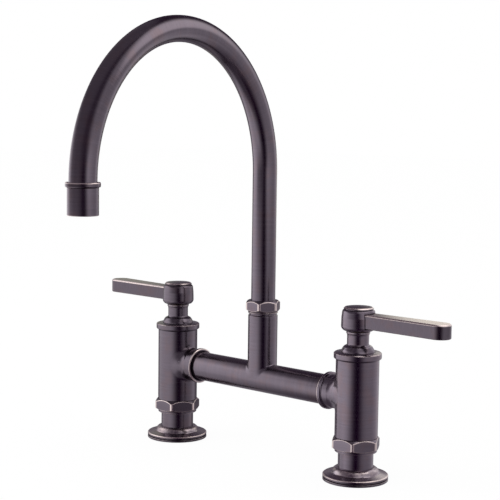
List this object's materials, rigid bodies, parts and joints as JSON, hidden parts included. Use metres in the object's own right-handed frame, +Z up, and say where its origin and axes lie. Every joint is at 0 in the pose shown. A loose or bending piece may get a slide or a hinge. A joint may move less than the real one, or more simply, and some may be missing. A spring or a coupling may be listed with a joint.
{
  "type": "two handle kitchen faucet",
  "caption": "Bridge kitchen faucet with high round gooseneck spout that swivels, quarter turn lever handles, hexagon coupling nuts, domed base flanges and dark bronze finish.",
  "frame": {"origin": "on the deck's top, midway between the axes of the two legs", "axes": "+Z up; X along the bridge, left leg at -X and right leg at +X as the user at -Y sees them; the spout points towards -Y, swung 7.3 degrees to +X at rest"},
  "size_m": [0.3748, 0.2615, 0.4186],
  "materials": {
    "dark_bronze": "oil rubbed bronze over brass, satin",
    "plain_brass": "as machined",
    "steel": "stainless",
    "rubber": "matte",
    "ceramic": "lapped ceramic",
    "pale_plastic": "moulded"
  },
  "bodies": {
    "faucet_body": {"left_base_flange": "dark_bronze", "left_flange_gasket": "rubber", "left_shank": "dark_bronze", "left_deck_washer": "steel", "left_deck_nut": "plain_brass", "left_coupling_nut": "dark_bronze", "left_union_washer": "rubber", "left_valve_body": "dark_bronze", "left_seat_seal": "rubber", "left_cartridge_housing": "pale_plastic", "left_fixed_disc": "ceramic", "left_bonnet": "dark_bronze", "right_base_flange": "dark_bronze", "right_flange_gasket": "rubber", "right_shank": "dark_bronze", "right_deck_washer": "steel", "right_deck_nut": "plain_brass", "right_coupling_nut": "dark_bronze", "right_union_washer": "rubber", "right_valve_body": "dark_bronze", "right_seat_seal": "rubber", "right_cartridge_housing": "pale_plastic", "right_fixed_disc": "ceramic", "right_bonnet": "dark_bronze", "bridge_tee": "dark_bronze", "bridge_o_rings": "rubber", "spout_nut": "dark_bronze", "thrust_washer": "pale_plastic", "swivel_bush": "pale_plastic"},
    "left_handle": {"left_moving_disc": "ceramic", "left_valve_stem": "plain_brass", "left_stem_o_ring": "rubber", "left_handle_hub": "dark_bronze", "left_lever": "dark_bronze", "left_handle_screw": "steel", "left_index_cap": "dark_bronze"},
    "right_handle": {"right_moving_disc": "ceramic", "right_valve_stem": "plain_brass", "right_stem_o_ring": "rubber", "right_handle_hub": "dark_bronze", "right_lever": "dark_bronze", "right_handle_screw": "steel", "right_index_cap": "dark_bronze"},
    "spout": {"spout_tube": "dark_bronze", "spout_spigot": "plain_brass", "spout_o_rings": "rubber", "spout_end_ring": "dark_bronze", "aerator_sleeve": "dark_bronze", "aerator_insert": "pale_plastic", "flow_regulator": "pale_plastic", "aerator_screen": "steel", "aerator_washer": "rubber"}
  },
  "joints": [
    {"name": "left_handle_turn", "type": "hinge", "parent": "faucet_body", "child": "left_handle", "pos_m": [-0.1016, 0, 0.12], "axis": [0, 0, 1], "range_deg": [0, 90]},
    {"name": "right_handle_turn", "type": "hinge", "parent": "faucet_body", "child": "right_handle", "pos_m": [0.1016, 0, 0.12], "axis": [0, 0, 1], "range_deg": [-90, 0]},
    {"name": "spout_swivel", "type": "hinge", "parent": "faucet_body", "child": "spout", "pos_m": [0, 0, 0.13], "axis": [0, 0, 1], "continuous": true}
  ]
}
